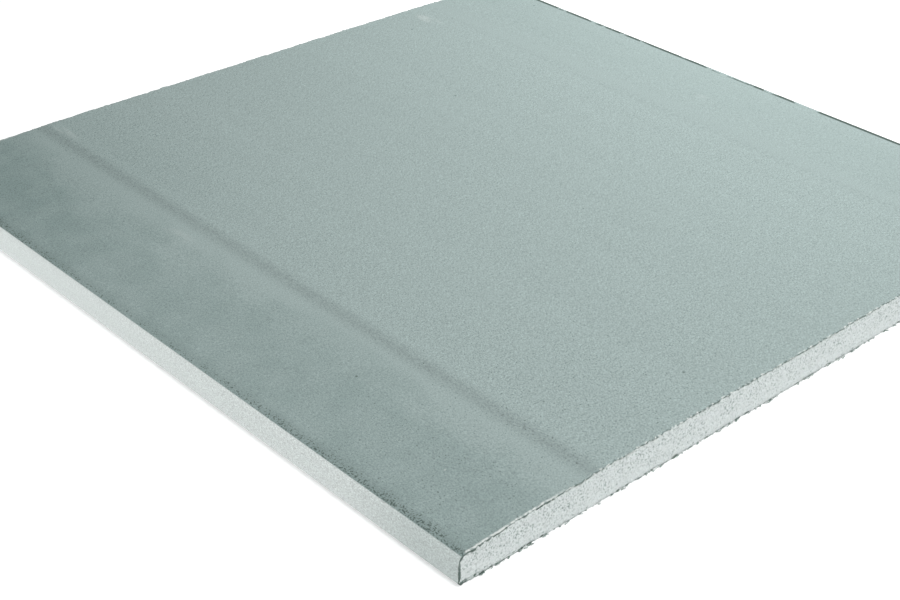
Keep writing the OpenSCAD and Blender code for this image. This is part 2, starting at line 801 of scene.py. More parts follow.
class FacePaperFinish(Finish):
    """Grey-green paper on the face, paler where it wraps the bound edges, with painted shade on the
    tapers and in the creases.

    Spans of edge_run are in millimetres from the nearer face arris, negative over the face.
    Spans of cut_run are in millimetres from the nearer cut end.
    """

    name = "face_paper"
    face_colour = srgb(163, 179, 177)
    edge_colour = srgb(214, 221, 219)
    # Dark fibre, also the colour of the painted shade along the cut and the far arris.
    dark_fibre_and_shade = srgb(72, 87, 82)
    # Pale fibre of scuffs, also the colour of the painted highlight along the cut.
    pale_fibre_and_highlight = srgb(228, 234, 231)
    # Tint of painted shade on the tapers and beside them, mixed with smears.
    shade_and_smear_tint = (0.6, 0.66, 0.652)
    fibre = 0.37 * MM
    contrast = 2.8
    taper_calm = 0.9
    edge_calm = (-0.1, 0.9)
    flecks = (
        Flecks(9 * MM, 0.045, 0.35, srgb(214, 224, 221), 0.5),
        Flecks(11 * MM, 0.04, 0.3, srgb(104, 120, 115)),
    )
    scuffs = (
        Scuff(93 * MM, 137 * MM, 4.5 * MM, 12 * MM, 0.22),
        Scuff(-97 * MM, 141 * MM, 2.5 * MM, 14 * MM, 0.14),
        Scuff(124 * MM, -2 * MM, 3 * MM, 6 * MM, 0.12),
        Scuff(-112 * MM, 41 * MM, 5 * MM, 10 * MM, 0.1),
    )
    # Spans of painted shade in the crease and of a painted highlight along its crest.
    crease_dip = ((-57.6, -53.0), (-47.0, -52.4))
    crease_crest = ((-61.0, -58.6), (-56.6, -58.2))
    dip_tone = -0.165
    arris_band = (-6.0, -1.0)
    arris_side = (0.0, -0.25)
    far_arris_shade = ((-2.9, -2.2), (1.2, 0.8))
    far_half = (20 * MM, 110 * MM)

    def build(self) -> Socket:
        """Join grain, flecks, painted shade on the tapers and in the creases, scuffs, darkening
        beside the arrises, and the marks of the cut with their painted shadow and highlight.

        Returns:
            The colour of the paper.
        """
        desk = self.desk
        self.across, self.along, _ = desk.axes(self.place)
        self.edge_run = desk.mark(Mark.EDGE_RUN)
        self.cut_run = desk.mark(Mark.CUT_RUN)
        self.near_side = desk.fit(self.across, -60 * MM, 60 * MM, 1.0, 0.0)
        self.wrapped = desk.fit(self.edge_run, -0.15, 0.15)
        edge_calm = desk.fit(self.along, -70 * MM, 60 * MM, *self.edge_calm)
        taper_calm = desk.fit(self.edge_run, -62.0, -50.0, 0.0, self.taper_calm)
        calm = desk.total(desk.product(self.wrapped, edge_calm), taper_calm)
        grain = self.grain(self.fibre, desk.math("SUBTRACT", self.contrast, calm))
        self.bump(grain["Height"], 0.015 * MM, 0.6)
        colour = desk.mix(self.wrapped, self.face_colour, self.edge_colour)
        colour = self.tone(colour, grain["Tone"])
        colour = desk.mix(self._taper_shade_and_smears(), colour, self.shade_and_smear_tint, "MULTIPLY")
        colour = self.tone(colour, self._pressed())
        colour = desk.mix(self._scuffed(), colour, self.pale_fibre_and_highlight)
        colour = self.flecked(colour)
        colour = desk.mix(self._stipple(), colour, self.dark_fibre_and_shade)
        colour = desk.mix(self._cut_gap_shadow(), colour, self.dark_fibre_and_shade)
        return desk.mix(self._lifted_edge_and_highlight(), colour, self.pale_fibre_and_highlight)

    def _taper_shade_and_smears(self) -> Socket:
        """How much painted shade darkens the tapers, broken by smears, and how much the bound edges
        darken towards the cut ends.

        Returns:
            The share of the tint.
        """
        desk = self.desk
        smear = self.noise(22 * MM, 3.0, 0.5, (1.0, 0.5, 1.0))
        warped = desk.total(self.edge_run, desk.fit(smear, 0.3, 0.7, -13.0, 13.0))
        on_taper = desk.fit(self.edge_run, -50.0, -44.0)
        # Painted shade on the taper, which slopes away from the key light, with a smeared border,
        # over a broad even part.
        smeared_shade = desk.product(desk.fit(warped, -48.0, -30.0), on_taper, 0.5)
        broad = desk.product(desk.fit(self.edge_run, -48.0, -26.0), 0.5)
        cloudy = desk.fit(self.noise(13 * MM, 1.5, 0.5), 0.35, 0.65, 0.8, 1.2)
        # The painted shade grows towards the far end; the far taper, which faces the key light,
        # gets little.
        far_end = desk.fit(self.along, *self.far_half, 0.41, 0.53)
        side = desk.fit(self.near_side, 0.0, 1.0, 0.2, 1.0)
        taper = desk.product(desk.total(smeared_shade, broad), cloudy, far_end, side)
        # Painted shade on the flat face beside the near taper, towards the far end.
        beside = desk.fit(self.edge_run, -112.0, -58.0)
        field_shade = desk.product(beside, desk.fit(self.along, *self.far_half), self.near_side, 0.2)
        face = desk.product(desk.total(taper, field_shade), desk.rest(self.wrapped))
        # The bound edges darker towards the cut ends.
        corner = desk.product(desk.fit(self.cut_run, 52.0, 12.0), self.wrapped, 0.48)
        return desk.total(face, corner)

    def _pressed(self) -> Socket:
        """Tone of painted shade in the creases, of a painted highlight along their crests, and of
        streaks along the panel.

        Returns:
            The tone, about 1.
        """
        desk = self.desk
        # Painted shade in the crease, where it slopes away from the key light.
        dip = desk.band(self.edge_run, *self.crease_dip)
        crest = desk.band(self.edge_run, *self.crease_crest)
        # Painted highlight along the crest, patchy.
        crest_glint = desk.fit(self.noise(2 * MM), 0.45, 0.65, 0.0, 0.03)
        strong = desk.fit(self.near_side, 0.0, 1.0, 0.22, 1.0)
        streaks = desk.fit(self.noise(9 * MM, 3.0, 0.6, (1.0, 0.03, 1.0)), 0.3, 0.7, 0.988, 1.012)
        crest_highlight = desk.product(crest, crest_glint, strong)
        return desk.total(streaks, crest_highlight, desk.product(dip, strong, self.dip_tone))

    def _scuffed(self) -> Socket:
        """Pale scuffed marks, streaky along the panel.

        Returns:
            The share of pale fibre.
        """
        desk = self.desk
        streaky = desk.fit(self.noise(2.2 * MM, 3.0, 0.6, (1.0, 0.25, 1.0)), 0.4, 0.62)
        marks = []
        for scuff in self.scuffs:
            wide = desk.math("SUBTRACT", self.across, scuff.across)
            long = desk.math("SUBTRACT", self.along, scuff.along)
            wide = desk.product(wide, 1.0 / scuff.half_width)
            long = desk.product(long, 1.0 / scuff.half_length)
            apart = desk.total(desk.product(wide, wide), desk.product(long, long))
            marks.append(desk.product(desk.fit(apart, 1.0, 0.1), scuff.strength))
        return desk.product(desk.most(*marks), streaky)

    def _stipple(self) -> Socket:
        """Darkening beside the arrises: a band and dots by the near one, and a broken line of
        painted shade along the far one.

        Returns:
            The share of the dark colour.
        """
        desk = self.desk
        near = desk.product(desk.fit(self.edge_run, *self.arris_side), self.near_side)
        faint = desk.fit(self.cut_run, 150.0, 10.0, 0.12, 0.22)
        near_band = desk.product(desk.fit(self.edge_run, *self.arris_band), near, faint)
        fewer_along = desk.fit(self.cut_run, 20.0, 150.0, 0.0, 0.1)
        fewer_inwards = desk.fit(self.edge_run, -1.2, -4.2, 0.0, 0.16)
        sparse = desk.total(fewer_along, fewer_inwards)
        spots = desk.math("SUBTRACT", self.noise(0.55 * MM, 1.0, 0.5), sparse)
        dots = desk.product(desk.fit(spots, 0.53, 0.56, 0.0, 0.85), near)
        # Painted shade: a broken dark line where the far arris rolls away into shade.
        line = desk.band(self.edge_run, *self.far_arris_shade)
        broken = desk.fit(self.noise(4 * MM, 3.0, 0.6, (1.0, 0.3, 1.0)), 0.44, 0.48)
        return desk.most(near_band, dots, desk.product(line, broken, desk.rest(self.near_side)))

    def _cut_gap_shadow(self) -> Socket:
        """Dark dashes of painted shadow in the gaps under the cut edge of the face, away from the
        bound edges.

        Returns:
            The share of the dark colour.
        """
        desk = self.desk
        dashes = desk.fit(self.noise(1.3 * MM, 2.0, 0.6, (1.0, 0.6, 1.0)), 0.53, 0.57)
        inner = desk.fit(self.edge_run, -22.0, -36.0)
        return desk.product(desk.fit(self.cut_run, 0.65, 0.25), dashes, inner, 0.5)

    def _lifted_edge_and_highlight(self) -> Socket:
        """Pale line along the cut, partly lifted fibre and partly a painted highlight where the cut
        edge catches the light, whole only on the tapers.

        Returns:
            The share of the pale colour.
        """
        desk = self.desk
        patches = self.noise(1.1 * MM)
        flecks = desk.product(desk.fit(self.cut_run, 0.65, 0.3), desk.fit(patches, 0.56, 0.61))
        patchy = desk.fit(patches, 0.4, 0.5, 0.2, 0.95)
        on_taper = desk.fit(self.edge_run, -46.0, -30.0)
        line = desk.product(desk.fit(self.cut_run, 0.95, 0.55), patchy, on_taper)
        return desk.product(desk.most(flecks, line), desk.fit(self.edge_run, -1.2, -2.4))


class CutPaperFinish(Finish):
    """Cut edge of the face paper: dark pressed fibre, dusted with gypsum."""

    name = "cut_paper"
    edge_fibre = srgb(98, 114, 108)
    face_fibre = srgb(112, 129, 123)
    dust = srgb(200, 209, 206)

    def build(self) -> Socket:
        """Join dark fibre and the gypsum dust that covers parts of it along the face.

        Returns:
            The colour of the cut edge.
        """
        desk = self.desk
        run = desk.mark(Mark.EDGE_RUN)
        on_face = desk.fit(run, -3.0, -38.0, 0.15, 1.0)
        face = desk.product(desk.fit(self.noise(1.1 * MM), 0.5, 0.57), on_face)
        flap = desk.product(desk.fit(self.noise(1.7 * MM), 0.36, 0.46), desk.fit(run, 12.0, 14.0))
        fibre = desk.mix(desk.fit(run, -24.0, -44.0), self.edge_fibre, self.face_fibre)
        grain = self.grain(0.4 * MM, 0.5)
        self.bump(grain["Height"], 0.08 * MM)
        return self.tone(desk.mix(desk.most(face, flap), fibre, self.dust), grain["Tone"])


class GypsumFinish(Finish):
    """White set gypsum, with painted shade in its pores and pits."""

    name = "gypsum"
    roughness = 0.95
    specular = 0.15
    white = srgb(226, 233, 232)
    # Colour of the painted shade in pores and pits.
    pore_shade = srgb(122, 142, 136)

    def build(self) -> Socket:
        """Join chalky mottling, and painted shade in pores in loose clusters and in pits.

        Returns:
            The colour of the gypsum.
        """
        desk = self.desk
        fine = self.noise(0.4 * MM)
        self.bump(fine, 0.1 * MM, 0.8)
        chalk = desk.fit(self.noise(2.5 * MM, 3.0), 0.3, 0.7, -0.025, 0.025)
        colour = self.tone(self.white, desk.total(chalk, desk.fit(fine, 0.3, 0.7, 0.92, 1.06)))
        # Painted shade in the pits and the crumbled strip.
        pit = desk.fit(desk.mark(Mark.PIT_SHADE), 0.25, 0.85)
        colour = desk.mix(desk.product(pit, 0.55), colour, self.pore_shade)
        return desk.mix(self._pores(), colour, self.pore_shade)

    def _pores(self) -> Socket:
        """Painted shade of pores: small ones in clusters, fewer towards the back, and some larger
        ones.

        Returns:
            The share of the painted pore shade.
        """
        desk = self.desk
        _, _, height = desk.axes(self.place)
        clusters = desk.fit(self.noise(5 * MM, 2.0, 0.5), 0.36, 0.62, 0.45, 1.0)
        upper = desk.fit(height, 1.5 * MM, 6.5 * MM, 0.5, 1.0)
        uneven = desk.fit(self.noise(0.7 * MM, 2.0, 0.5), 0.48, 0.37)
        small = desk.most(uneven, self.specks(0.75 * MM, 0.4, 0.5))
        large = desk.product(self.specks(2.3 * MM, 0.15, 0.4), 0.8)
        return desk.most(desk.product(small, clusters, upper, 0.7), large)


class BackPaperFinish(Finish):
    """Plain grey recycled paper, with dark fibre in dashes between gypsum dust where it is torn."""

    name = "back_paper"
    colour = srgb(168, 168, 160)
    dust = srgb(232, 237, 235)
    torn_fibre = srgb(100, 120, 113)
    flecks = (
        Flecks(5 * MM, 0.06, 0.5, srgb(120, 116, 104)),
        Flecks(7 * MM, 0.06, 0.4, srgb(206, 206, 198)),
    )

    def build(self) -> Socket:
        """Join grain, recycled flecks and the torn edges.

        Returns:
            The colour of the paper.
        """
        desk = self.desk
        grain = self.grain(0.8 * MM, 0.2)
        self.bump(grain["Height"], 0.06 * MM, 0.7)
        cloud = desk.fit(self.noise(6 * MM, 3.0), 0.3, 0.7, 0.96, 1.04)
        plain = self.flecked(self.tone(self.tone(self.colour, grain["Tone"]), cloud))
        dashes = desk.fit(self.noise(2 * MM, 3.0, 0.6, (1.0, 0.5, 0.5)), 0.5, 0.55)
        return desk.mix(desk.mark(Mark.TORN), plain, desk.mix(dashes, self.dust, self.torn_fibre))


class TornFibreFinish(Finish):
    """Loose fibres and flakes of torn paper."""

    name = "torn_fibre"
    dark = srgb(134, 152, 145)
    pale = srgb(206, 216, 212)

    def build(self) -> Socket:
        """Join dark and paler fibre.

        Returns:
            The colour of the fibres.
        """
        grain = self.grain(0.5 * MM, 0.4)
        self.bump(grain["Height"], 0.05 * MM)
        shade = self.desk.fit(self.noise(1.3 * MM, 2.0, 0.5), 0.48, 0.66)
        return self.tone(self.desk.mix(shade, self.dark, self.pale), grain["Tone"])


@dataclass(frozen=True)
class SheetRow:
    """One row across a paper: points of its outer and inner skin, and their mark."""

    outer: np.ndarray
    inner: np.ndarray
    mark: float


@dataclass
class PaperSheet:
    """A paper as two skins, in rows that stand closer together beside the cut ends."""

    section: PanelSection
    seed: int
    end_rows: tuple[float, ...]
    middle_step: float
    piece: bpy.types.Object = field(init=False)

    def plain_row(self, y: float) -> SheetRow:
        """One row away from the cut ends, at a place along the panel."""
        raise NotImplementedError

    def cut_rows(self, rough: Roughener, end: CutEnd) -> list[SheetRow]:
        """Rows beside one cut end, from the cut inwards."""
        raise NotImplementedError

    def rows(self) -> list[SheetRow]:
        """Every row, from the near cut end to the far one.

        Returns:
            The rows in order.
        """
        rough = Roughener(self.seed)
        middle = self.section.sizes.length / 2 - self.end_rows[-1]
        count = math.ceil(2 * middle / self.middle_step)
        near, far = [self.cut_rows(rough, end) for end in CutEnd]
        plain = [self.plain_row(y) for y in np.linspace(-middle, middle, count + 1)[1:-1]]
        return near + plain + far[::-1]

    def skins(self) -> tuple[np.ndarray, np.ndarray, np.ndarray]:
        """Join the rows to two skins.

        Returns:
            Outer points, inner points, and one mark for each point of a skin.
        """
        rows = self.rows()
        outer, inner = np.stack([row.outer for row in rows]), np.stack([row.inner for row in rows])
        return outer, inner, np.repeat([row.mark for row in rows], outer.shape[1])


@dataclass
class FacePaper(PaperSheet):
    """Paper over the face, wrapped round both bound edges, cut by a knife at both ends.

    Layers of unevenness are pairs of a share and a wave. Runs are in millimetres from the
    nearer face arris, negative over the face.
    """

    seed: int = 11
    end_rows: tuple[float, ...] = (
        0.0, 0.16 * MM, 0.4 * MM, 0.8 * MM, 1.6 * MM, 3.2 * MM, 8 * MM
    )
    middle_step: float = 18 * MM
    jag: float = 0.3 * MM
    jag_layers: Layers = ((0.25, 2.4 * MM), (0.6, 0.9 * MM))
    jag_reach: float = 3.2 * MM
    nick_depth: float = 0.5 * MM
    nick_size: Span = (0.3, 0.7)
    nick_depth_spread: Span = (0.2, 1.0)
    nick_spacing: float = 6 * MM
    lift: float = 0.2 * MM
    lift_limits: Span = (-0.2, 1.0)
    lift_layers: Layers = ((1.0, 4 * MM), (0.5, 1.1 * MM))
    lift_reach: float = 0.7 * MM
    slant: float = 0.12 * MM
    slant_wave: float = 0.9 * MM
    swell: float = 0.28 * MM
    swell_runs: tuple[float, ...] = (-44.0, -32.0, -1.0, 0.5)
    swell_shares: tuple[float, ...] = (0.8, 1.4, 1.4, 2.0)
    swell_swing: float = 0.4
    swell_wave: float = 1.7 * MM
    swell_reach: float = 0.5 * MM

    def build(self) -> bpy.types.Object:
        """Make the paper, closed all round.

        Returns:
            The new piece.
        """
        outer, inner, cut_run = self.skins()
        edge_run = np.tile(self.section.edge_run / MM, len(outer))
        marks = {Mark.EDGE_RUN: edge_run, Mark.CUT_RUN: cut_run}
        self.piece = MeshDesk.sheet("face_paper_sheet", outer, inner, marks)
        return self.piece

    def dress(self, face: Finish, cut: Finish) -> None:
        """Give the paper its finishes.

        Args:
            face: Finish of the two skins.
            cut: Finish of the cut edges.
        """
        mesh = self.piece.data
        mesh.materials.append(face.material)
        mesh.materials.append(cut.material)
        cut_faces = 2 * (len(self.section.outside) - 1)
        numbers = np.zeros(len(mesh.polygons), np.int32)
        numbers[-cut_faces:] = 1
        mesh.polygons.foreach_set("material_index", numbers)
        settle(self.piece, Slot.FACE_PAPER, "face_paper")

    def plain_row(self, y: float) -> SheetRow:
        """Make one row of the section away from the cut ends.

        Args:
            y: Place along the panel.

        Returns:
            The row, with its distance from the cuts.
        """
        outer, inner = (
            MeshDesk.points(skin[:, 0], y, skin[:, 1])
            for skin in (self.section.outside, self.section.inside)
        )
        return SheetRow(outer, inner, (self.section.sizes.length / 2 - abs(y)) / MM)

    def cut_rows(self, rough: Roughener, end: CutEnd) -> list[SheetRow]:
        """Rows beside one cut, from the cut inwards, jagged, lifted and swollen towards it.

        Args:
            rough: Source of the unevenness.
            end: Which cut end.

        Returns:
            The rows, with their distance from the cut.
        """
        section = self.section
        run = section.run
        jag = self.jag * rough.layered(run, self.jag_layers) + self._nicks(rough, run)
        lift = self.lift * np.clip(rough.layered(run, self.lift_layers), *self.lift_limits)
        slant = self.slant * (1.0 + rough.along(run, self.slant_wave))
        swell = self.swell * np.interp(section.edge_run / MM, self.swell_runs, self.swell_shares)
        swell *= 1.0 + self.swell_swing * rough.along(run, self.swell_wave)
        outward = section.outside - section.inside
        outward /= np.linalg.norm(outward, axis=1, keepdims=True)
        rows = []
        for distance in self.end_rows:
            fade = max(0.0, 1.0 - distance / self.jag_reach)
            y = section.sizes.length / 2 - distance - jag * fade
            raised = lift * math.exp(-((distance / self.lift_reach) ** 2))
            swollen = swell * max(0.0, 1.0 - distance / self.swell_reach)
            outer = section.outside + raised[:, None] * outward
            inner = section.inside + (raised - swollen)[:, None] * outward
            rows.append(SheetRow(
                MeshDesk.points(outer[:, 0], end.value * y, outer[:, 1]),
                MeshDesk.points(inner[:, 0], end.value * (y - slant * fade), inner[:, 1]),
                distance / MM,
            ))
        return rows

    def _nicks(self, rough: Roughener, run: np.ndarray) -> np.ndarray:
        """Work out the small nicks along a cut.

        Args:
            rough: Source of the nicks.
            run: Places along the cut.

        Returns:
            Depth at each place.
        """
        depth = np.zeros_like(run)
        for _ in range(round(run[-1] / self.nick_spacing)):
            centre = rough.draws.uniform(run[0], run[-1])
            size = rough.draws.uniform(*self.nick_size) * MM
            deep = self.nick_depth * rough.draws.uniform(*self.nick_depth_spread) ** 2
            nick = deep * np.clip(1.0 - np.abs(run - centre) / size, 0.0, 1.0)
            depth = np.maximum(depth, nick)
        return depth


@dataclass
class GypsumCore:
    """Set gypsum between the papers, snapped rough and porous at both ends.

    Layers of unevenness are pairs of a depth or a share, and a wave.
    """

    section: PanelSection
    seed: int = 23
    pitch: float = 0.33 * MM
    rows: int = 36
    rim: float = 1.2 * MM
    recess: float = 0.16 * MM
    recess_layers: Layers = ((0.1 * MM, 11 * MM), (0.06 * MM, 1.6 * MM), (0.05 * MM, 0.5 * MM))
    crumble: float = 0.55 * MM
    crumble_layers: Layers = ((1.0, 3.1 * MM), (0.6, 0.9 * MM))
    crumble_share: float = 0.07
    # Share of painted shade in the crumbled strip under the face paper.
    crumble_shade: float = 0.9
    chip: float = 0.35 * MM
    chip_layers: Layers = ((1.0, 2.3 * MM), (0.6, 0.8 * MM))
    chip_share: float = 0.06
    pit_count: int = 6000
    pit_size: float = 0.13 * MM
    pit_spread: Span = (0.2, 0.4)
    pit_limit: float = 0.4 * MM
    pit_dark: float = 0.25 * MM
    pit_back_share: float = 0.3
    pit_full_height: float = 0.5
    pit_least_cells: float = 0.6
    pit_depth_share: float = 0.8
    piece: bpy.types.Object = field(init=False)
    end_grids: list[np.ndarray] = field(init=False)

    def build(self) -> bpy.types.Object:
        """Make the core as two rough end faces joined by plain sides.

        Returns:
            The new piece.
        """
        rough = Roughener(self.seed)
        half = self.section.sizes.length / 2
        reach = self.section.inside[:, 0].max()
        across = np.linspace(-reach, reach, round(2 * reach / self.pitch) + 1)
        bottom, top = self.section.core_heights(across)
        share = np.linspace(0.0, 1.0, self.rows + 1)[:, None]
        up = bottom + (top - bottom) * share
        wide = np.broadcast_to(across, up.shape)
        grid = np.arange(up.size).reshape(up.shape)
        border = self._border(grid)
        points, pits = [], []
        for end in CutEnd:
            recess, pit = self._snapped(rough, wide, up, share)
            points.append(MeshDesk.points(wide, end.value * (half - recess), up).reshape(-1, 3))
            pits.append(pit.ravel())
        for end in CutEnd:
            y = end.value * (half - self.rim)
            points.append(MeshDesk.points(wide.ravel()[border], y, up.ravel()[border]))
            pits.append(np.zeros(len(border)))
        self.end_grids = [grid, grid + grid.size]
        near_rim = 2 * grid.size + np.arange(len(border))
        loops = [border, near_rim, near_rim + len(border), border + grid.size]
        rings = [np.append(loop, loop[0]) for loop in loops]
        sides = [np.stack(pair) for pair in zip(rings, rings[1:])]
        self.piece = MeshDesk.make(
            "gypsum_core_block",
            np.concatenate(points), self.end_grids + sides, {Mark.PIT_SHADE: np.concatenate(pits)},
        )
        return self.piece

    def dress(self, finish: Finish) -> None:
        """Give the core its finish."""
        self.piece.data.materials.append(finish.material)
        settle(self.piece, Slot.GYPSUM, "gypsum_core")

    @staticmethod
    def _border(numbers: np.ndarray) -> np.ndarray:
        """Follow the border of a grid in one turn.

        Args:
            numbers: Point numbers, in rows and columns.

        Returns:
            The border's point numbers.
        """
        return np.concatenate(
            [numbers[0, :-1], numbers[:-1, -1], numbers[-1, :0:-1], numbers[:0:-1, 0]]
        )

    def _snapped(
        self, rough: Roughener, wide: np.ndarray, up: np.ndarray, share: np.ndarray
    ) -> tuple[np.ndarray, np.ndarray]:
        """Relief of one snapped end.

        Args:
            rough: Source of the unevenness.
            wide: Places of the grid along X.
            up: Places of the grid along Z.
            share: Height of each row, as a share of the core.

        Returns:
            How far each point lies inside the cut plane, and the share of painted shade at each
            point.
        """
        recess = np.full(up.shape, self.recess)
        for depth, wave in self.recess_layers:
            recess += depth * rough.over(wide, up, wave)
        crumbled = np.clip(rough.layered(wide[0], self.crumble_layers), 0.0, 1.0)
        crumbled = crumbled * np.clip(1.0 - (1.0 - share) / self.crumble_share, 0.0, 1.0)
        chipped = np.clip(rough.layered(wide[0], self.chip_layers), 0.0, 1.0)
        chipped = chipped * np.clip(1.0 - share / self.chip_share, 0.0, 1.0)
        deep = self._pits(rough, wide, up)
        recess += self.crumble * crumbled + self.chip * chipped + deep
        # The second share is painted shade, full in the crumbled strip and darker in deeper pits.
        return recess, np.clip(self.crumble_shade * crumbled + deep / self.pit_dark, 0.0, 1.0)

    def _pits(self, rough: Roughener, wide: np.ndarray, up: np.ndarray) -> np.ndarray:
        """Open the air bubbles of one end, fewer towards the back.

        Args:
            rough: Source of the pits.
            wide: Places of the grid along X.
            up: Places of the grid along Z.

        Returns:
            Depth at each point.
        """
        depth = np.zeros_like(up)
        rows, columns = up.shape
        for _ in range(self.pit_count):
            x, height, keep = rough.draws.uniform(size=3)
            size = min(self.pit_size * rough.draws.lognormal(*self.pit_spread), self.pit_limit)
            wanted = min(1.0, height / self.pit_full_height)
            if keep > self.pit_back_share + (1.0 - self.pit_back_share) * wanted:
                continue
            column, row = int(x * (columns - 1)), int(height * (rows - 1))
            reach = 1 + int(size / self.pitch)
            spot = tuple(
                slice(max(0, middle - reach), middle + reach + 1) for middle in (row, column)
            )
            far = np.hypot(wide[spot] - wide[row, column], up[spot] - up[row, column])
            radius = max(size, self.pit_least_cells * self.pitch)
            bowl = np.clip(1.0 - (far / radius) ** 2, 0.0, 1.0)
            deep = self.pit_depth_share * size * np.sqrt(bowl)
            depth[spot] = np.maximum(depth[spot], deep)
        return depth


@dataclass
class BackPaper(PaperSheet):
    """Plain paper over the back, torn where the panel was snapped off.

    Layers of unevenness are pairs of a length or a share, and a wave.
    """

    seed: int = 37
    end_rows: tuple[float, ...] = (0.0, 0.12 * MM, 0.35 * MM, 0.8 * MM, 1.8 * MM, 4 * MM)
    middle_step: float = 60 * MM
    step: float = 0.4 * MM
    stand: float = -0.18 * MM
    stand_layers: Layers = ((0.25 * MM, 3.6 * MM), (0.2 * MM, 1.1 * MM))
    lift: float = 0.18 * MM
    lift_layers: Layers = ((1.0, 2.6 * MM), (0.4, 0.8 * MM))
    lift_reach: float = 0.9 * MM
    tip: float = 0.1 * MM
    tip_reach: float = 0.8 * MM
    torn_reach: float = 1.2 * MM
    across: np.ndarray = field(init=False)
    torn_edges: dict[CutEnd, np.ndarray] = field(init=False, default_factory=dict)

    def __post_init__(self) -> None:
        """Set out the places across the paper."""
        width = self.section.sizes.back_width
        self.across = np.linspace(-width / 2, width / 2, round(width / self.step) + 1)

    def build(self) -> bpy.types.Object:
        """Make the paper as a thin slab with two torn edges.

        Returns:
            The new piece.
        """
        upper, lower, torn = self.skins()
        self.piece = MeshDesk.sheet("back_paper_sheet", upper, lower, {Mark.TORN: torn})
        return self.piece

    def dress(self, finish: Finish) -> None:
        """Give the paper its finish."""
        self.piece.data.materials.append(finish.material)
        settle(self.piece, Slot.BACK_PAPER, "back_paper")

    def plain_row(self, y: float) -> SheetRow:
        """Make one row away from the torn edges.

        Args:
            y: Place along the panel.

        Returns:
            The row, which isn't torn.
        """
        upper, lower = (
            MeshDesk.points(self.across, y, z) for z in (self.section.sizes.back_paper, 0.0)
        )
        return SheetRow(upper, lower, 0.0)

    def cut_rows(self, rough: Roughener, end: CutEnd) -> list[SheetRow]:
        """Rows beside one torn edge, from its tip inwards.

        Args:
            rough: Source of the unevenness.
            end: Which cut end.

        Returns:
            The rows, with how torn they are.
        """
        sizes = self.section.sizes
        stand = self.stand + rough.layered(self.across, self.stand_layers)
        lift = self.lift * np.clip(rough.layered(self.across, self.lift_layers), 0.0, 1.0)
        rows = []
        for distance in self.end_rows:
            fade = 1.0 - distance / self.end_rows[-1]
            y = end.value * (sizes.length / 2 - distance + stand * fade)
            raised = lift * math.exp(-((distance / self.lift_reach) ** 2))
            full = min(1.0, distance / self.tip_reach)
            thick = self.tip + (sizes.back_paper - self.tip) * full
            rows.append(SheetRow(
                MeshDesk.points(self.across, y, raised + thick),
                MeshDesk.points(self.across, y, raised),
                max(0.0, 1.0 - distance / self.torn_reach),
            ))
        self.torn_edges[end] = rows[0].outer
        return rows


class GeometryDesk(Desk):
    """A desk for one tree of geometry nodes with named inputs."""

    KINDS = (
        (int, "NodeSocketInt"),
        (float, "NodeSocketFloat"),
        (bpy.types.Material, "NodeSocketMaterial"),
    )

    def __init__(self, name: str, finish: Finish, inputs: dict[str, float | int]) -> None:
        """Start a tree.

        Args:
            name: Name of the tree and of the piece that it makes.
            finish: Finish of the piece.
            inputs: Value for each named input.
        """
        super().__init__(bpy.data.node_groups.new(name, "GeometryNodeTree"))
        self.name = name
        for way in ("INPUT", "OUTPUT"):
            self.tree.interface.new_socket(
                "Geometry", in_out=way, socket_type="NodeSocketGeometry"
            )
        self.values: dict[str, object] = {}
        for title, value in {**inputs, "Material": finish.material}.items():
            kind = next(socket for sort, socket in self.KINDS if isinstance(value, sort))
            socket = self.tree.interface.new_socket(title, in_out="INPUT", socket_type=kind)
            self.values[socket.identifier] = value
        self.given = self.add("NodeGroupInput").outputs

    def random(self, kind: str, **inputs: object) -> Socket:
        """Random values of a kind, from the inputs of a Random Value node."""
        node = self.add("FunctionNodeRandomValue", {"data_type": kind}, **inputs)
        return next(s for s in node.outputs if s.enabled)

    def spread(self, low: float, high: float, seed: int | Socket) -> Socket:
        """Random numbers between two ends."""
        return self.random("FLOAT", Min=low, Max=high, Seed=seed)

    def place(self) -> Socket:
        """The place that a field is read at."""
        return self.add("GeometryNodeInputPosition").outputs[0]

    def vector(self, x: object, y: object, z: object) -> Socket:
        """Join three sockets or numbers to a vector."""
        return self.add("ShaderNodeCombineXYZ", X=x, Y=y, Z=z).outputs[0]

    def strew(self, **inputs: object) -> Socket:
        """Stand a shape on each point, from the inputs of an Instance on Points node."""
        return self.add("GeometryNodeInstanceOnPoints", **inputs).outputs[0]

    def grow(self, result: Socket, carrier: bpy.types.Mesh) -> bpy.types.Object:
        """End the tree, run it on a carrier and keep the result as a plain mesh.

        Args:
            result: Geometry that the tree ends in.
            carrier: Mesh that the tree works on.

        Returns:
            The new piece.
        """
        real = self.add("GeometryNodeRealizeInstances", Geometry=result)
        self.add("NodeGroupOutput", Geometry=self.add(
            "GeometryNodeSetMaterial", Geometry=real.outputs[0], Material=self.given["Material"]
        ).outputs[0])
        piece = linked(self.name, carrier)
        modifier = piece.modifiers.new("scatter", "NODES")
        modifier.node_group = self.tree
        for identifier, value in self.values.items():
            modifier[identifier] = value
        ready = piece.evaluated_get(bpy.context.evaluated_depsgraph_get())
        mesh = bpy.data.meshes.new_from_object(ready)
        piece.modifiers.remove(modifier)
        piece.data = mesh
        mesh.name = self.name
        bpy.data.meshes.remove(carrier)
        return piece


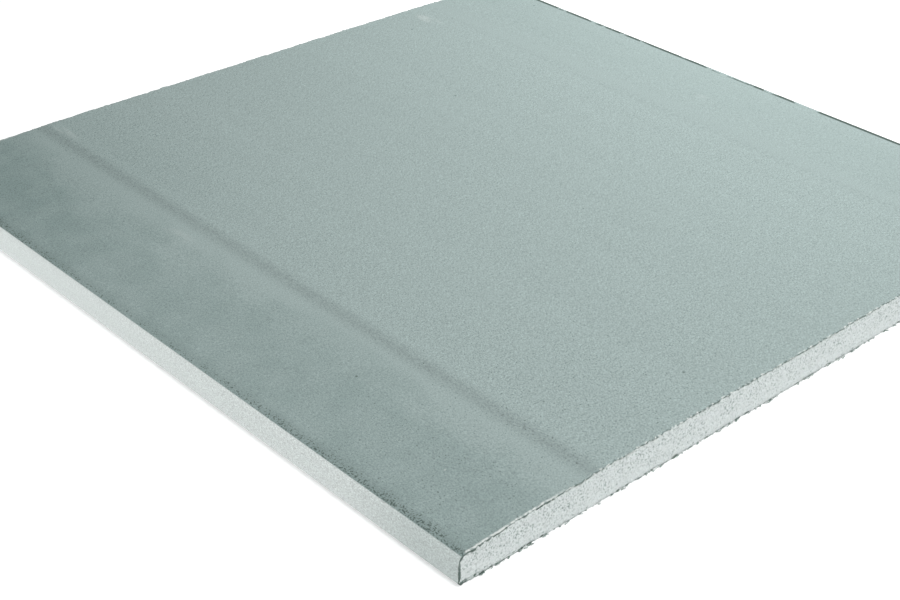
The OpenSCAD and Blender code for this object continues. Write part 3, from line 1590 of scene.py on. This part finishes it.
@dataclass
class TornFringe:
    """What stands out along the torn back edges."""

    back: BackPaper
    seed: int = 5
    proud: float = 0.3 * MM

    def spots(self, desk: GeometryDesk) -> Socket:
        """Set points along the torn edges, a spacing apart.

        Args:
            desk: Desk of the tree.

        Returns:
            The points' socket.
        """
        path = desk.add("GeometryNodeMeshToCurve", Mesh=desk.given["Geometry"])
        return desk.add(
            "GeometryNodeResampleCurve", {"mode": "LENGTH"},
            Curve=path.outputs[0], Length=desk.given["Spacing"],
        ).outputs[0]

    def grow(self, desk: GeometryDesk, result: Socket) -> bpy.types.Object:
        """Grow a tree on both torn edges, with nothing under the back of the panel.

        Args:
            desk: Desk of the tree.
            result: Geometry that the tree ends in.

        Returns:
            The new piece.
        """
        edges = self.back.torn_edges.items()
        rows = [row + np.array([0.0, end.value * self.proud, 0.0]) for end, row in edges]
        count = len(rows[0])
        links = [(k, k + 1) for k in range(2 * count - 1) if k != count - 1]
        carrier = bpy.data.meshes.new("torn_edges")
        carrier.from_pydata(np.concatenate(rows).tolist(), links, [])
        piece = desk.grow(result, carrier)
        places = np.zeros(len(piece.data.vertices) * 3, np.float32)
        piece.data.vertices.foreach_get("co", places)
        places[2::3] = np.maximum(places[2::3], 0.0)
        piece.data.vertices.foreach_set("co", places)
        piece.data.update()
        settle(piece, Slot.BACK_PAPER)
        return piece


@dataclass
class TornFibres(TornFringe):
    """Short bent fibres along the torn back edges."""

    spacing: float = 0.8 * MM
    fibre_length: float = 0.8 * MM
    fibre_radius: float = 0.05 * MM
    bend: tuple[Triple, ...] = ((0.0, 0.0, 0.0), (0.5, 0.25, 0.0), (1.0, 0.0, 0.15))
    least_turn: Triple = (-0.5, -0.7, -math.pi)
    most_turn: Triple = (0.5, -0.1, math.pi)
    size_spread: Span = (0.3, 1.3)

    def build(self, finish: Finish) -> bpy.types.Object:
        """Scatter bent fibres along both torn edges.

        Args:
            finish: Finish of the fibres.

        Returns:
            The new piece.
        """
        desk = GeometryDesk("torn_fibres", finish, {
            "Spacing": self.spacing,
            "Length": self.fibre_length,
            "Radius": self.fibre_radius,
            "Seed": self.seed,
        })
        given = desk.given
        start, middle, end = self.bend
        path = desk.add(
            "GeometryNodeCurveQuadraticBezier", Resolution=4, Start=start, Middle=middle, End=end
        )
        slim = desk.math("DIVIDE", given["Radius"], given["Length"])
        ring = desk.add("GeometryNodeCurvePrimitiveCircle", Resolution=4, Radius=slim)
        strand = desk.add(
            "GeometryNodeCurveToMesh",
            Curve=path.outputs[0], Profile_Curve=ring.outputs[0], Fill_Caps=True,
        )
        turn = desk.random(
            "FLOAT_VECTOR", Min=self.least_turn, Max=self.most_turn, Seed=given["Seed"]
        )
        size = desk.product(given["Length"], desk.spread(*self.size_spread, given["Seed"]))
        return self.grow(desk, desk.strew(
            Points=self.spots(desk), Instance=strand.outputs[0], Rotation=turn, Scale=size
        ))


@dataclass
class TornTufts(TornFringe):
    """Curled flakes of paper along the torn back edges, larger where a flap doubles the paper."""

    spacing: float = 1.1 * MM
    share: float = 0.3
    flake_length: float = 1.2 * MM
    flake_height: float = 0.6 * MM
    flake_thickness: float = 0.5 * MM
    flake_slab: Triple = (1.0, 0.35, 1.0)
    flake_narrowing: float = 0.3
    flake_thinning: float = 0.6
    flake_curl: float = 0.6
    flake_bow: float = 3.2
    length_spread: Span = (0.6, 1.5)
    height_spread: Span = (0.55, 1.3)
    thickness_spread: Span = (0.6, 1.2)
    turns: tuple[Span, ...] = ((-0.45, 0.1), (-0.12, 0.12), (-0.5, 0.5))
    size_seed: int = 31
    turn_seed: int = 34
    flap_start: float = 118 * MM
    flap_end: float = 130 * MM
    flap_growth: float = 1.45
    unevenness: float = 0.4 * MM
    uneven_wave: float = 0.9 * MM

    def build(self, finish: Finish) -> bpy.types.Object:
        """Stand flakes up along both torn edges.

        Args:
            finish: Finish of the flakes.

        Returns:
            The new piece.
        """
        desk = GeometryDesk("torn_tufts", finish, {
            "Spacing": self.spacing,
            "Share": self.share,
            "Length": self.flake_length,
            "Height": self.flake_height,
            "Thickness": self.flake_thickness,
            "Unevenness": self.unevenness,
            "Wave": self.uneven_wave,
            "Seed": self.seed,
        })
        given = desk.given
        across, along, _ = desk.axes(desk.place())
        doubled = desk.add(
            "ShaderNodeMapRange",
            Value=desk.math("ABSOLUTE", across),
            From_Min=self.flap_start, From_Max=self.flap_end, To_Min=1.0, To_Max=self.flap_growth,
        ).outputs[0]
        spreads = {
            "Length": self.length_spread,
            "Thickness": self.thickness_spread,
            "Height": self.height_spread,
        }
        sizes = [
            desk.product(given[title], desk.spread(*ends, self.size_seed + k), doubled)
            for k, (title, ends) in enumerate(spreads.items())
        ]
        tilt, lean, twist = (
            desk.spread(*ends, self.turn_seed + k) for k, ends in enumerate(self.turns)
        )
        facing = desk.product(desk.math("LESS_THAN", along, 0.0), math.pi)
        tufts = desk.strew(
            Points=self.spots(desk),
            Selection=desk.random("BOOLEAN", Probability=given["Share"], Seed=given["Seed"]),
            Instance=self._flake(desk),
            Rotation=desk.vector(tilt, lean, desk.total(facing, twist)),
            Scale=desk.vector(*sizes),
        )
        return self.grow(desk, self._worn(desk, tufts))

    @staticmethod
    def _worn(desk: GeometryDesk, tufts: Socket) -> Socket:
        """Make the flakes real, with an uneven outline for each.

        Args:
            desk: Desk of the tree.
            tufts: Copies of the flake.

        Returns:
            The worn flakes.
        """
        real = desk.add("GeometryNodeRealizeInstances", Geometry=tufts).outputs[0]
        rate = desk.math("DIVIDE", 1.0, desk.given["Wave"])
        noise = desk.add("ShaderNodeTexNoise", Vector=desk.place(), Scale=rate, Detail=2.0)
        shift = [
            desk.product(desk.math("SUBTRACT", part, 0.5), desk.given["Unevenness"])
            for part in desk.axes(noise.outputs["Color"])
        ]
        return desk.add(
            "GeometryNodeSetPosition", Geometry=real, Offset=desk.vector(*shift)
        ).outputs[0]

    def _flake(self, desk: GeometryDesk) -> Socket:
        """Shape a curled flake of unit size that stands on its long side and curls towards +Y.

        Args:
            desk: Desk of the tree.

        Returns:
            The flake.
        """
        slab = desk.add(
            "GeometryNodeMeshCube",
            Size=self.flake_slab, Vertices_X=7, Vertices_Y=2, Vertices_Z=5,
        )
        x, y, z = desk.axes(desk.place())
        rise = desk.total(z, 0.5)
        narrowed = desk.product(x, desk.rest(desk.product(rise, self.flake_narrowing)))
        thinned = desk.product(y, desk.rest(desk.product(rise, self.flake_thinning)))
        curl = desk.product(rise, rise, self.flake_curl)
        bow = desk.rest(desk.product(x, x, self.flake_bow))
        place = desk.vector(narrowed, desk.total(thinned, curl), desk.product(rise, bow))
        return desk.add(
            "GeometryNodeSetPosition", Geometry=slab.outputs["Mesh"], Position=place
        ).outputs[0]


@dataclass
class GypsumGrains:
    """Loose grains of gypsum that cling to the snapped ends."""

    core: GypsumCore
    seed: int = 9
    density: float = 0.5e6
    grain: float = 0.17 * MM
    shape_spread: Span = (0.4, 1.2)

    def build(self, finish: Finish) -> bpy.types.Object:
        """Scatter small lumps over both end faces.

        Args:
            finish: Finish of the grains.

        Returns:
            The new piece.
        """
        desk = GeometryDesk("gypsum_grains", finish, {
            "Density": self.density, "Grain": self.grain, "Seed": self.seed
        })
        given = desk.given
        spots = desk.add(
            "GeometryNodeDistributePointsOnFaces",
            Mesh=given["Geometry"], Density=given["Density"], Seed=given["Seed"],
        )
        lump = desk.add("GeometryNodeMeshIcoSphere", Subdivisions=1, Radius=1.0)
        turn, shape = (
            desk.random("FLOAT_VECTOR", Min=(low,) * 3, Max=(high,) * 3, Seed=given["Seed"])
            for low, high in ((0.0, math.tau), self.shape_spread)
        )
        size = desk.add(
            "ShaderNodeVectorMath", {"operation": "SCALE"}, Vector=shape, Scale=given["Grain"]
        )
        lumps = desk.strew(
            Points=spots.outputs[0],
            Instance=lump.outputs[0],
            Rotation=turn,
            Scale=size.outputs[0],
        )
        source = self.core.piece.data
        places = np.zeros(len(source.vertices) * 3, np.float32)
        source.vertices.foreach_get("co", places)
        carrier = bpy.data.meshes.new("snapped_ends")
        faces = MeshDesk.faces(self.core.end_grids)
        carrier.from_pydata(places.reshape(-1, 3).tolist(), [], faces)
        piece = desk.grow(lumps, carrier)
        settle(piece, Slot.GYPSUM)
        return piece


def heading(azimuth: float, elevation: float) -> Vector:
    """Work out a direction.

    Args:
        azimuth: Turn from +X, in degrees.
        elevation: Rise from the floor, in degrees.

    Returns:
        The unit vector.
    """
    turn, rise = math.radians(azimuth), math.radians(elevation)
    flat = math.cos(rise)
    return Vector((flat * math.cos(turn), flat * math.sin(turn), math.sin(rise)))


@dataclass(frozen=True)
class Softbox:
    """A large soft lamp, aimed at the panel."""

    name: str
    azimuth: float
    elevation: float
    distance: float
    width: float
    height: float
    power: float

    def place(self) -> bpy.types.Object:
        """Set the lamp up.

        Returns:
            The lamp.
        """
        lamp = bpy.data.lights.new(self.name, "AREA")
        lamp.shape = "RECTANGLE"
        lamp.size, lamp.size_y = self.width, self.height
        lamp.energy = self.power
        way = heading(self.azimuth, self.elevation)
        holder = linked(self.name, lamp)
        holder.location = way * self.distance
        holder.rotation_euler = way.to_track_quat("Z", "Y").to_euler()
        return holder


@dataclass
class Studio:
    """Pale floor, soft lamps, white surroundings and the camera."""

    floor_side: float = 8.0
    floor_tone: Colour = (0.8, 0.8, 0.8)
    white: Colour = (1.0, 1.0, 1.0)
    ambient: float = 0.06
    floor_gap: float = 0.02 * MM
    floor_glow: float = 0.54
    floor_fade: tuple[float, float] = (0.35, 1.2)
    lamps: tuple[Softbox, ...] = (
        Softbox("key_softbox", 10.0, 38.0, 0.6, 0.24, 0.1, 2.25),
        Softbox("front_softbox", -100.0, 60.0, 1.0, 0.5, 0.33, 6.05),
        Softbox("edge_softbox", 151.0, 2.0, 1.3, 0.7, 0.08, 10.0),
        Softbox("end_softbox", -85.0, 3.0, 1.3, 0.7, 0.08, 3.7),
    )
    aim: Vector = field(default_factory=lambda: Vector((-54.28 * MM, -38.14 * MM, 0.0)))
    azimuth: float = 46.381
    elevation: float = 31.268
    distance: float = 585.37 * MM
    roll: float = 1.58
    lens: float = 67.344
    sensor: float = 36.0
    clip_start: float = 10 * MM

    def build(self) -> None:
        """Set up floor, lamps, world, camera and view."""
        self._floor()
        self._world()
        for lamp in self.lamps:
            lamp.place()
        self._camera()
        bpy.context.scene.view_settings.view_transform = "Standard"

    def _floor(self) -> None:
        """A pale floor that looks white outside the panel's shadow and casts no light on it."""
        half, level = self.floor_side / 2, -self.floor_gap
        mesh = bpy.data.meshes.new("floor")
        ways = ((-1, -1), (1, -1), (1, 1), (-1, 1))
        mesh.from_pydata([(x * half, y * half, level) for x, y in ways], [], [(0, 1, 2, 3)])
        floor = linked("floor", mesh)
        material = bpy.data.materials.new("floor")
        material.use_nodes = True
        desk = NodeDesk(material.node_tree)
        place = desk.add("ShaderNodeTexCoord").outputs["Object"]
        apart = desk.add("ShaderNodeVectorMath", {"operation": "LENGTH"}, Vector=place)
        glow = desk.fit(apart.outputs["Value"], *self.floor_fade, self.floor_glow, 1.0)
        values = {
            "Base Color": self.floor_tone,
            "Roughness": 1.0,
            "Specular IOR Level": 0.0,
            "Emission Color": self.white,
            "Emission Strength": desk.product(self._seen(desk), glow),
        }
        for title, value in values.items():
            desk.put(material.node_tree.nodes["Principled BSDF"].inputs[title], value)
        mesh.materials.append(material)

    @staticmethod
    def _seen(desk: NodeDesk) -> Socket:
        """1 for rays that carry the background to the camera, straight or by a reflection."""
        path = desk.add("ShaderNodeLightPath").outputs
        return desk.most(*(path[f"Is {kind} Ray"] for kind in ("Camera", "Glossy", "Transmission")))

    def _world(self) -> None:
        """White surroundings that light the panel at a plain level."""
        world = bpy.data.worlds.new("surroundings")
        world.use_nodes = True
        bpy.context.scene.world = world
        desk = NodeDesk(world.node_tree)
        background = world.node_tree.nodes["Background"].inputs
        desk.put(background["Color"], self.white)
        strength = desk.fit(self._seen(desk), 0.0, 1.0, self.ambient, 1.0)
        desk.put(background["Strength"], strength)

    def _camera(self) -> None:
        """The camera, at the photograph's viewing angle."""
        camera = bpy.data.cameras.new("camera")
        camera.lens, camera.sensor_width = self.lens, self.sensor
        camera.clip_start = self.clip_start
        forward = heading(self.azimuth, -self.elevation)
        level = heading(self.azimuth - 90.0, 0.0)
        right = Matrix.Rotation(-math.radians(self.roll), 3, forward) @ level
        facing = Matrix((right, right.cross(forward), -forward)).transposed().to_4x4()
        holder = linked("camera", camera)
        holder.matrix_world = Matrix.Translation(self.aim - self.distance * forward) @ facing
        bpy.context.scene.camera = holder


def main() -> None:
    """Build the panel and its studio."""
    logging.basicConfig(level=logging.INFO, format="%(name)s: %(message)s")
    section = PanelSection(PanelSizes.from_frame())
    groups = EffectGroups()
    gypsum = GypsumFinish(groups)

    core = GypsumCore(section)
    core.build()
    core.dress(gypsum)
    face = FacePaper(section)
    face.build()
    face.dress(FacePaperFinish(groups), CutPaperFinish(groups))
    back = BackPaper(section)
    back.build()
    back.dress(BackPaperFinish(groups))
    torn = TornFibreFinish(groups)
    TornFibres(back).build(torn)
    TornTufts(back).build(torn)
    GypsumGrains(core).build(gypsum)
    Studio().build()


if __name__ == "__main__":
    main()
